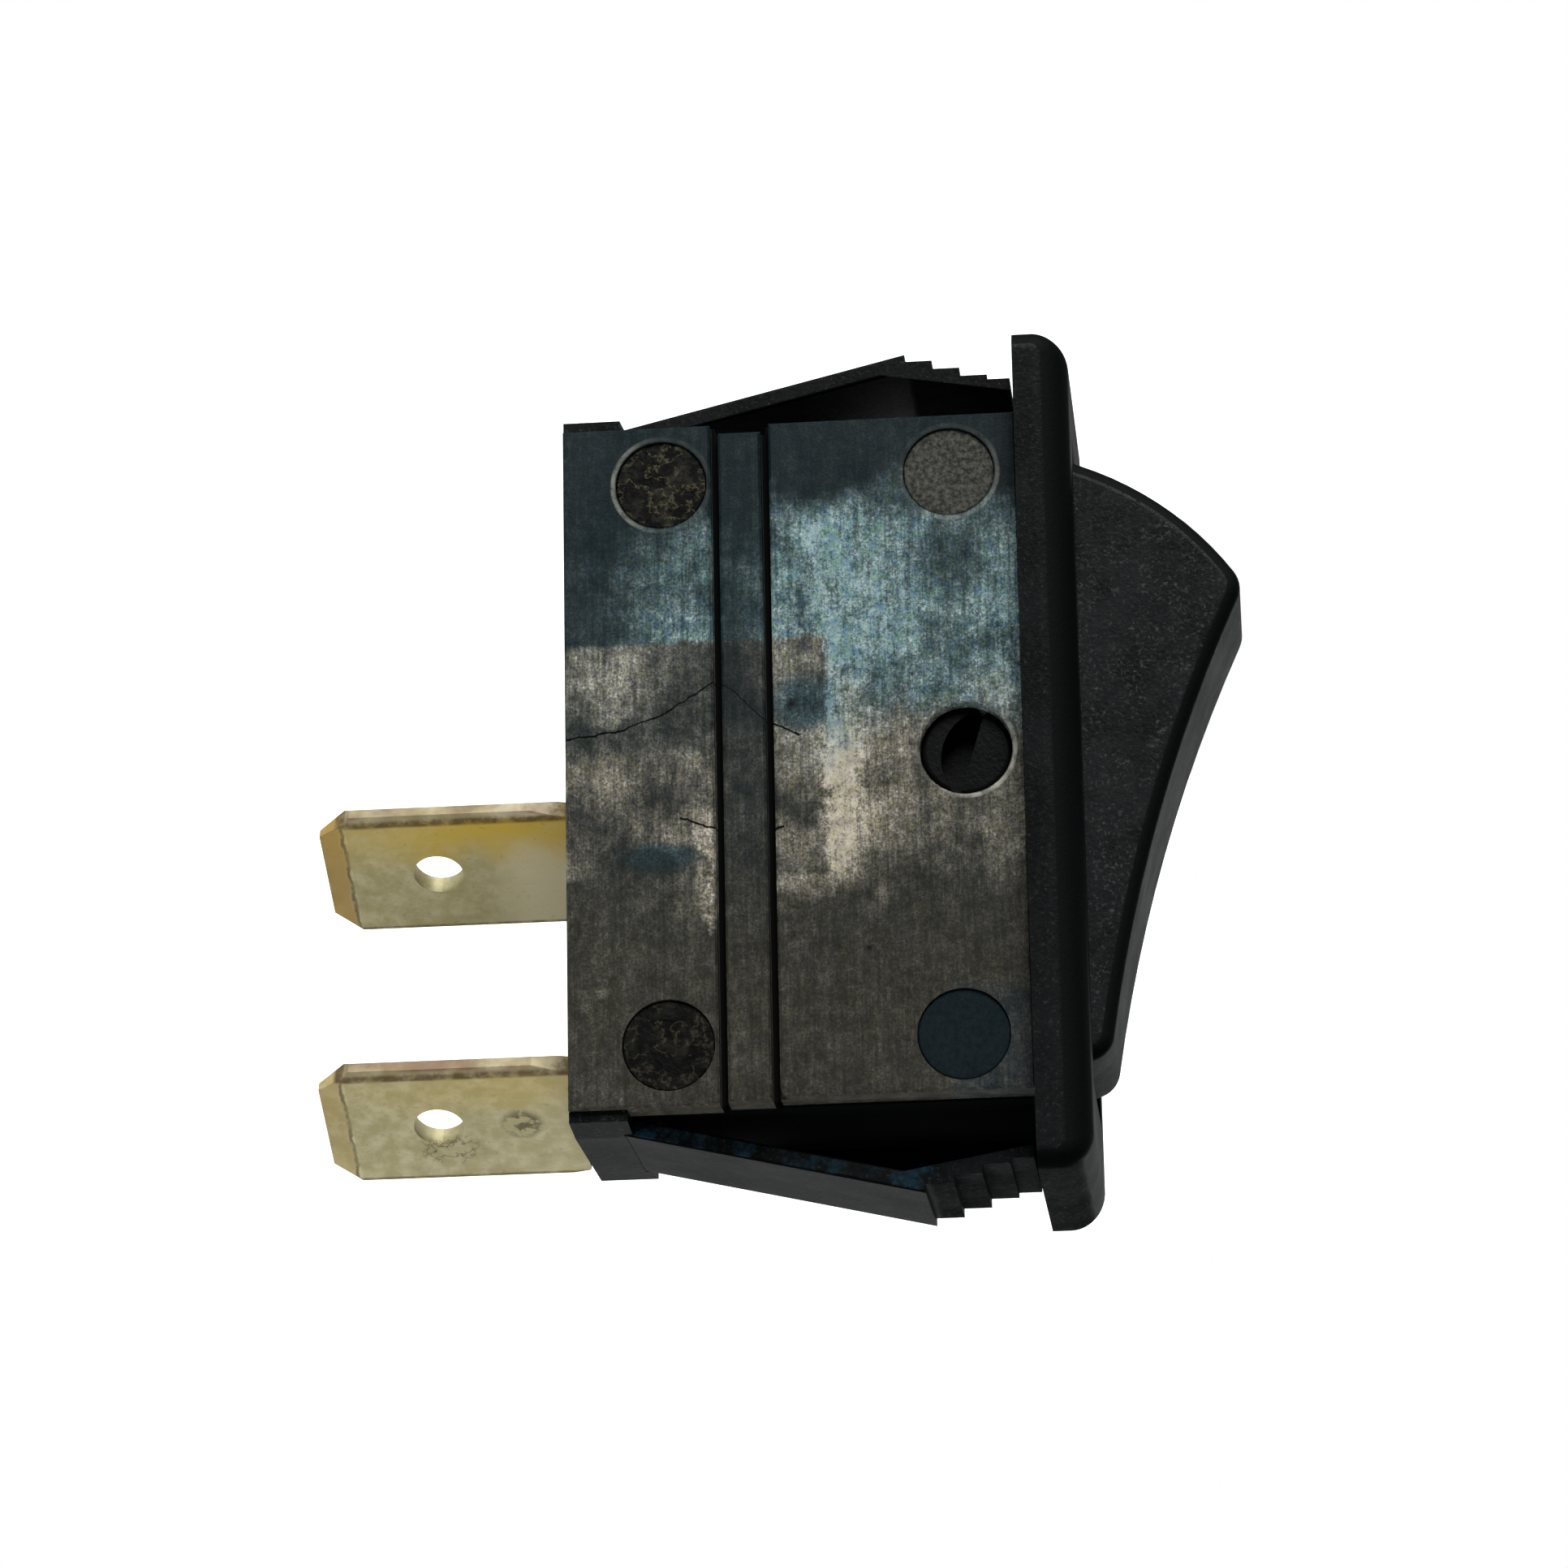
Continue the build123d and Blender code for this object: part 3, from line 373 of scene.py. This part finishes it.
# ---- key ----
def rocker_black():
    """The key: matt with rubbed patches and pale specks, the specks partly painted sparkle of highlights;
    painted shade darkens its rounded edges and the axle end that shows in the cover's hole."""
    g = Graph("rocker_black")
    grain = g.noise(0.0002, 3.0, 0.65)
    patches = g.noise(0.0035, 4.0, 0.6)
    mottle = g.noise(0.0006, 4.0, 0.7)
    # pale specks: grit in the plastic, brightened as painted sparkle of highlights
    specks = g.remap(g.noise(0.00016, 3.0, 0.75), 0.52, 0.68)
    dense = g.remap(g.noise(0.0013, 4.0, 0.65), 0.38, 0.62, 0.15, 1.0)
    base = g.mix(g.remap(patches, 0.35, 0.65), grey(0.0025, COOL), grey(0.009, COOL))
    base = g.mix(g.remap(mottle, 0.4, 0.7, 0.0, 0.7), base, grey(0.014))
    colour = g.mix(g.product(specks, dense, 0.6), base, grey(0.1, PALE_GREEN))
    # painted shade on the rounded edges and on the axle end, shaded inside the cover's hole
    edges = g.edges()
    axle = g.product(g.before(g.reach(0.0, PIVOT_Z), AXLE_RADIUS, 0.0001),
                     g.before(g.axis("Y"), AXLE_END_Y, 0.0001))
    colour = g.mix(g.most(edges, axle), colour, grey(0.0014, COOL))
    rough = g.most(g.remap(patches, 0.3, 0.7, 0.42, 0.55), g.product(edges, 0.75))
    return g.finish(colour, rough, g.bump(grain, 0.00004, 0.6), Specular_IOR_Level=0.15)


# ---- cover ----
def groove_shade(g):
    """Painted shade: black in the two grooves beside the cover's raised band."""
    return g.most(*(g.remap(g.off(g.axis("Z"), middle), half_width * 0.7, half_width, 1.0, 0.0)
                    for middle, half_width in GROOVES))


def painted_rim_highlights(g):
    """Painted highlight: a fine bright arc round each hole's rim, strongest on the side the light falls on.
    """
    broken = g.remap(g.noise(0.0006, 4.0, 0.7), 0.35, 0.6, 0.25, 1.0)
    arcs = []
    for (x, z), radius, (side_x, side_z), strength in LIT_RIMS:
        on_rim = g.before(g.off(g.reach(x, z), radius + RIM_GAP), 0.00004, 0.00008)
        facing = g.plus(g.product(g.minus(g.axis("X"), x), side_x / radius),
                        g.product(g.minus(g.axis("Z"), z), side_z / radius))
        arcs.append(g.product(on_rim, g.remap(facing, -0.1, 1.0, 0.05, strength), broken))
    return g.most(*arcs)


def small_pits(g):
    """Small dark pits and smudges."""
    ragged = g.noise(0.0003, 3.0, 0.7)
    return g.most(*(g.remap(g.plus(g.reach(x, z, radius, radius), ragged), 0.6, 1.5, 0.85, 0.0)
                    for x, z, radius in PITS))


def crack_lines(g):
    """Fine cracks, each a run of straight pieces that wander a little."""
    across = g.plus(g.axis("X"), g.wander(g.noise(0.0011, 4.0, 0.65), 0.0005))
    z = g.axis("Z")
    pieces = []
    for width, points in CRACKS:
        for (x0, z0), (x1, z1) in zip(points, points[1:]):
            middle = g.plus(g.product(g.minus(z, z0), (x1 - x0) / (z1 - z0)), x0)
            near = g.remap(g.off(across, middle), width * 0.4, width, 1.0, 0.0)
            pieces.append(g.product(near, g.math("GREATER_THAN", z, z0), g.math("LESS_THAN", z, z1)))
    return g.most(*pieces)


def label_area(g):
    """1 where an old label covered the rear half, with ragged edges."""
    ragged = g.wander(g.noise(0.0008, 4.0, 0.7), 0.0007)
    inside_x = g.before(g.plus(g.off(g.axis("X"), 0.0), ragged), LABEL_X, LABEL_SOFT)
    inside_z = g.before(g.plus(g.axis("Z"), ragged), LABEL_Z, LABEL_SOFT)
    return g.product(inside_x, inside_z)


def bloom_and_sheen_amount(g, along, label, cloud, grit):
    """How much bloom there is, with the painted sheen it carries: most in a ridge just ahead of the band, and
    least at both ends, at the rear corner towards -X and, past the middle, towards the bezel."""
    z = g.axis("Z")
    rise = g.remap(along, -0.0118, -0.0078)
    fall = g.remap(along, 0.0025, 0.0072, 1.0, 0.0)
    past_middle = g.remap(along, -0.0030, 0.0005)
    behind = g.remap(z, -0.0172, -0.0118, 0.06, 0.62)
    ahead = g.remap(z, -0.0066, -0.0040, 0.85, g.blend(past_middle, 0.58, 0.28))
    share = g.blend(g.past(z, -0.0112, 0.0006), behind, ahead)
    ridge_off = g.math("DIVIDE", g.minus(z, SHEEN_RIDGE_Z), SHEEN_RIDGE_REACH)
    share = g.plus(share, g.remap(g.product(ridge_off, ridge_off), 0.0, 1.0, 0.5, 0.0))
    share = g.blend(label, share, g.remap(g.noise(0.0024, 3.0), 0.35, 0.65, 0.18, 0.42))
    amount = g.product(rise, fall, share, g.remap(cloud, 0.3, 0.66, 0.35, 1.35))
    for place, strength in BLOOM_AND_SHEEN_SPOTS:
        here = g.product(g.spot(*place, soft=1.0), g.remap(grit, 0.3, 0.6), strength)
        amount = g.plus(amount, here)
    on_band = g.product(g.past(z, BAND_Z[0], BAND_SOFT), g.before(z, BAND_Z[1], BAND_SOFT))
    amount = g.product(amount, g.blend(on_band, 1.0, 0.2))
    film = g.remap(g.noise(0.0009, 6.0, 0.75), 0.32, 0.7, 0.04, 0.115)
    return g.most(amount, g.product(film, g.remap(along, 0.002, 0.006, 0.4, 1.0)))


def bloom_and_sheen_tint(g, along, label, grit):
    """The colour of the bloom and its painted sheen: teal before the middle, brown-grey after it and under
    the label, two blue stains, and grains that lean to violet or to green."""
    tone = g.most(g.remap(along, -0.0035, 0.0005), g.product(label, 0.8))
    lean = g.remap(g.noise(0.00028, 3.0, 0.8), 0.4, 0.6)
    blue = g.mix(g.remap(grit, 0.4, 0.72), g.mix(lean, BLOOM_SHEEN_BLUE, BLOOM_SHEEN_GREEN), BLOOM_SHEEN_PALE)
    brown = g.mix(g.remap(grit, 0.35, 0.7), g.mix(lean, BLOOM_SHEEN_BROWN, BLOOM_SHEEN_OLIVE), BLOOM_SHEEN_CREAM)
    stains = g.most(*(g.spot(*place, soft=0.9) for place in STAINS))
    return g.mix(g.product(stains, 0.8), g.mix(tone, blue, brown), STAIN_BLUE)


def cover_black():
    """Cover plate with a milky bloom, bluish towards -X and brownish beyond the middle, and the
    outline of an old label over its rear half. The bloom is partly a real haze and partly painted sheen:
    reflected light painted into the colour."""
    g = Graph("cover_black")
    along = g.plus(g.axis("X"), g.wander(g.noise(0.0035, 4.0, 0.6), 0.006))
    streaks = g.noise(0.00014, 3.0, 0.7, g.stretched((0.06, 1.0, 1.0)))
    sparkle = g.noise(0.00011, 2.0, 0.8)
    grit = g.noise(0.0004, 4.0, 0.75)
    cloud = g.noise(0.0022, 5.0, 0.62, distortion=0.5)
    flow = g.noise(0.00035, 5.0, 0.8, distortion=0.6)
    label = label_area(g)

    amount = bloom_and_sheen_amount(g, along, label, cloud, grit)
    fleck = g.product(g.remap(streaks, 0.25, 0.75, 0.4, 1.2), g.remap(sparkle, 0.3, 0.7, 0.4, 1.6),
                      g.remap(flow, 0.35, 0.65, 0.55, 1.35))
    # the bloom, partly real haze and partly painted sheen of reflected light
    milky = g.math("MINIMUM", g.product(amount, fleck), 1.0)
    ground = g.mix(g.remap(along, 0.002, 0.009), GROUND_TEAL, GROUND_BROWN)
    corner = g.product(g.past(g.axis("X"), FRONT_CORNER[0], 0.0014),
                       g.past(g.axis("Z"), FRONT_CORNER[1], 0.0008))
    ground = g.mix(corner, ground, GROUND_CORNER)
    colour = g.mix(milky, ground, bloom_and_sheen_tint(g, along, label, grit))
    # painted glints: specks of highlight painted into the colour
    glints = g.product(g.remap(sparkle, 0.6, 0.72), g.remap(grit, 0.45, 0.62), g.remap(amount, 0.15, 0.7))
    colour = g.mix(g.product(glints, 0.75), colour, GLINT)
    # painted highlights on the holes' rims
    colour = g.mix(painted_rim_highlights(g), colour, RIM_HIGHLIGHT)
    # cracks and pits are real marks; the grooves' black is painted shade
    marks = g.most(crack_lines(g), small_pits(g), groove_shade(g))
    colour = g.mix(marks, colour, BLACK)
    rough = g.most(g.remap(cloud, 0.3, 0.7, 0.34, 0.5), marks)
    normal = g.bump(streaks, 0.00001, 0.5, g.bump(sparkle, 0.000015, 0.6))
    return g.finish(colour, rough, normal, Specular_IOR_Level=0.2)


# ---- pegs ----
def peg_black():
    """Staked peg ends: the rear two broken and brownish where the tool marked them, the front one
    towards -X gritty, and the last one smooth."""
    g = Graph("peg_black")
    broken = g.noise(0.0009, 6.0, 0.75, distortion=0.25)
    grit = g.noise(0.00022, 4.0, 0.75)
    front = g.past(g.axis("Z"), PEG_FRONT_Z, 0.001)
    far_end = g.past(g.axis("X"), PEG_MIDDLE_X, 0.002)
    light_share = g.blend(far_end, 1.0, 0.45)

    broken_light = g.product(g.remap(broken, 0.46, 0.7), light_share)
    ridge_light = g.product(g.creases(0.0011, 0.035, 1.0, 0.0), g.remap(grit, 0.4, 0.6), light_share, 0.6)
    rear_peg = g.mix(ridge_light, g.mix(broken_light, PEG_HOLLOW, PEG_BROKEN), PEG_RIDGE)
    gritty_peg = g.mix(g.remap(grit, 0.35, 0.7), *PEG_GRITTY)
    smooth_peg = g.mix(g.remap(grit, 0.3, 0.7), *PEG_SMOOTH)
    colour = g.mix(front, rear_peg, g.mix(far_end, gritty_peg, smooth_peg))

    relief = g.product(g.minus(1.0, g.product(front, far_end)), broken)
    normal = g.bump(relief, 0.0001, 0.8, g.bump(grit, 0.00002, 0.5))
    return g.finish(colour, g.remap(broken, 0.3, 0.7, 0.4, 0.6), normal, Specular_IOR_Level=0.1)


# ---- tabs ----
def dark_edge_lines(g, across, tip_line, mottle):
    """Dark lines just inside both edges of a tab and along its bevel, broken here and there."""
    edge_lines = g.plus(g.before(g.off(across, 0.965), 0.008, 0.014, 0.7),
                        g.before(g.off(across, 0.045), 0.014, 0.028, 0.85))
    bevel_line = g.before(g.off(tip_line, TAB_BEVEL_Z), 0.00003, 0.00009, 0.7)
    return g.most(g.product(bevel_line, g.remap(mottle, 0.3, 0.6, 0.3, 1.0)),
                  g.product(edge_lines, g.remap(g.noise(0.0006, 5.0, 0.7), 0.32, 0.6, 0.45, 1.0)))


def corroded_patch(g, end_tab, mottle):
    """Two rough dark patches on the tab at the end."""
    blots = g.product(g.spot(*CORROSION[0], soft=0.9), g.remap(mottle, 0.42, 0.52))
    lines = g.product(g.spot(*CORROSION[1], soft=0.9), g.creases(0.0009, 0.03, 0.9, 0.1))
    return g.product(g.most(blots, lines), end_tab, 0.8)


def plated_metal():
    """Dulled yellowish plating, paler near the body with painted light, mustard along the side towards -X,
    browned at the tip's bevel, with dark lines along the edges, fine pits and small corroded patches."""
    g = Graph("plated_metal")
    z = g.axis("Z")
    mottle = g.noise(0.0007, 5.0, 0.65)
    cloud = g.noise(0.003, 4.0, 0.6, distortion=0.4)
    pits = g.remap(g.noise(0.00025, 3.0, 0.7), 0.60, 0.70)
    scratch = g.noise(0.00008, 3.0, 0.6, g.stretched((1.0, 1.0, 0.06)))
    end_tab = g.past(g.axis("X"), TAB_SPLIT_X, 0.0004)

    # How far across each turned tab: 0 at its side towards -X, 1 at the other side.
    along_width = g.plus(g.product(g.axis("X"), TAB_TURN[0]), g.product(g.axis("Y"), TAB_TURN[1]))
    across = g.math("DIVIDE", g.minus(along_width, g.blend(end_tab, *TAB_SIDES)), TAB_WIDTH)
    ragged_across = g.plus(across, g.wander(cloud, 0.5))
    tip_line = g.plus(z, g.product(mottle, 0.0005))

    plate = g.mix(g.remap(mottle, 0.35, 0.7), PLATE_DULL, PLATE_BRIGHT)
    # painted light: the plating is lit paler near the body, against the shade that falls there
    painted_light_near_body = g.product(g.past(z, TAB_ROOT_Z, 0.0022), g.blend(end_tab, 0.8, 0.1))
    mustard = g.product(g.remap(ragged_across, 0.12, 0.5, 1.0, 0.0), g.blend(end_tab, 0.9, 0.3),
                        g.remap(z, -0.0275, -0.0205, 0.4, 1.0), g.past(across, 0.02, 0.03))
    colour = g.mix(mustard, g.mix(painted_light_near_body, plate, PLATE_PAINTED_LIGHT), MUSTARD)
    tip = g.product(g.remap(tip_line, -0.02725, -0.02685, 0.75, 0.0), g.blend(end_tab, 1.0, 0.4))
    colour = g.mix(tip, colour, TIP_BROWN)
    colour = g.mix(dark_edge_lines(g, across, tip_line, mottle), colour, EDGE_DARK)
    colour = g.mix(corroded_patch(g, end_tab, mottle), colour, CORRODED)
    brown_side = g.product(g.before(across, 0.004, 0.021), g.remap(cloud, 0.35, 0.62, 0.15, 0.9))
    colour = g.mix(brown_side, colour, SIDE_BROWN)
    colour = g.mix(g.product(pits, 0.25), colour, PLATE_PIT)
    colour = g.mix(g.remap(scratch, 0.62, 0.75, 0.0, 0.25), colour, PLATE_SCRATCH)
    normal = g.bump(scratch, 0.000008, 0.5, g.bump(mottle, 0.00003, 0.3))
    return g.finish(colour, g.remap(mottle, 0.3, 0.7, 0.42, 0.6), normal, Metallic=0.35)


# ---- inner parts and floor ----
def clean_metal(name, colour, roughness):
    """Inner metal parts: strip, wire and contacts, with a drawn grain."""
    g = Graph(name)
    drawn = g.noise(0.0001, 3.0, 0.6, g.stretched((0.15, 1.0, 1.0)))
    tone = g.noise(0.0015, 3.0)
    darker = rgb(*(share * 0.75 for share in colour[:3]))
    rough = g.remap(tone, 0.3, 0.7, roughness, roughness + 0.12)
    return g.finish(g.mix(tone, darker, colour), rough, g.bump(drawn, 0.00001, 0.4), Metallic=1.0)


def natural_acetal():
    """The plunger's creamy white, with a faint grain."""
    g = Graph("natural_acetal")
    tone = g.noise(0.001, 3.0)
    rough = g.remap(tone, 0.3, 0.7, 0.35, 0.45)
    return g.finish(g.mix(tone, *ACETAL), rough, g.bump(g.noise(0.0002), 0.00001, 0.3))


def floor_material():
    """Pale paper that glows a little, so that it meets the white surround without a line."""
    g = Graph("floor_pale")
    pale = g.mix(g.noise(0.2, 2.0), *FLOOR_PALE)
    g.feed(g.shader.inputs["Emission Color"], pale)
    return g.finish(pale, 0.8, Specular_IOR_Level=0.2, Emission_Strength=FLOOR_GLOW)


# ---- camera, floor and light ----
def add_camera():
    back = (-CAMERA_AHEAD).normalized()
    up = back.cross(CAMERA_RIGHT).normalized()
    right = up.cross(back)
    turn = Matrix((right, up, back)).transposed().to_4x4()
    data = bpy.data.cameras.new("camera")
    data.lens = CAMERA_LENS
    data.sensor_width = CAMERA_SENSOR
    data.clip_start, data.clip_end = CAMERA_CLIP
    camera = bpy.data.objects.new("camera", data)
    camera.matrix_world = Matrix.Translation(CAMERA_PLACE) @ turn
    bpy.context.scene.collection.objects.link(camera)
    bpy.context.scene.camera = camera


def add_floor():
    """Pale sheet under and behind the switch."""
    low = cad_box[0][2] - FLOOR_GAP
    bpy.ops.mesh.primitive_plane_add(size=1, location=(0, FLOOR_SIZE[1] / 2 - FLOOR_FRONT, low))
    floor = bpy.context.object
    floor.name = "floor"
    floor.scale = (FLOOR_SIZE[0], FLOOR_SIZE[1], 1)
    floor.data.materials.append(floor_material())
    floor.visible_glossy = False


def add_studio():
    """White surround to look at. What reflections see of it is dim, and brighter behind the
    switch than on the cover's side."""
    world = bpy.data.worlds.new("studio")
    world.use_nodes = True
    tree = world.node_tree
    background = tree.nodes["Background"]
    background.inputs["Color"].default_value = rgb(1, 1, 1)
    place = tree.nodes.new("ShaderNodeTexCoord")
    split = tree.nodes.new("ShaderNodeSeparateXYZ")
    tree.links.new(place.outputs["Generated"], split.inputs["Vector"])
    behind = tree.nodes.new("ShaderNodeMapRange")
    for socket, value in zip(("From Min", "From Max", "To Min", "To Max"), STUDIO_FADE):
        behind.inputs[socket].default_value = value
    tree.links.new(split.outputs["Y"], behind.inputs["Value"])
    seen = tree.nodes.new("ShaderNodeLightPath")
    strength = tree.nodes.new("ShaderNodeMix")
    tree.links.new(seen.outputs["Is Camera Ray"], strength.inputs["Factor"])
    tree.links.new(behind.outputs["Result"], strength.inputs["A"])
    strength.inputs["B"].default_value = 1.0
    tree.links.new(strength.outputs["Result"], background.inputs["Strength"])
    bpy.context.scene.world = world


def add_sun(name, towards, strength, spread, glossy):
    """Soft distant light that comes from the given direction."""
    data = bpy.data.lights.new(name, "SUN")
    data.energy = strength
    data.angle = math.radians(spread)
    lamp = bpy.data.objects.new(name, data)
    lamp.visible_glossy = glossy
    lamp.rotation_euler = Vector(towards).to_track_quat("Z", "Y").to_euler()
    bpy.context.scene.collection.objects.link(lamp)


def dress(material, *names):
    """Gives each of the named nodes the material as its only one."""
    for name in names:
        mesh = nodes[name].data
        mesh.materials.clear()
        mesh.materials.append(material)


add_camera()
add_floor()
add_studio()
for sun in SUNS:
    add_sun(*sun)

dress(housing_black(), "housing")
dress(arm_black(), "latch_arm_upper", "latch_arm_lower")
dress(cover_black(), "side_cover")
dress(peg_black(), "cover_pegs")
dress(rocker_black(), "rocker")
dress(plated_metal(), "common_terminal", "throw_terminal")
dress(clean_metal("blade_brass", BRASS, 0.22), "contact_blade")
dress(clean_metal("spring_steel", STEEL, 0.25), "plunger_spring")
dress(clean_metal("contact_silver", SILVER, 0.2), "moving_contact_tip", "fixed_contact_tip")
dress(natural_acetal(), "plunger")

bpy.context.scene.view_settings.view_transform = "Standard"
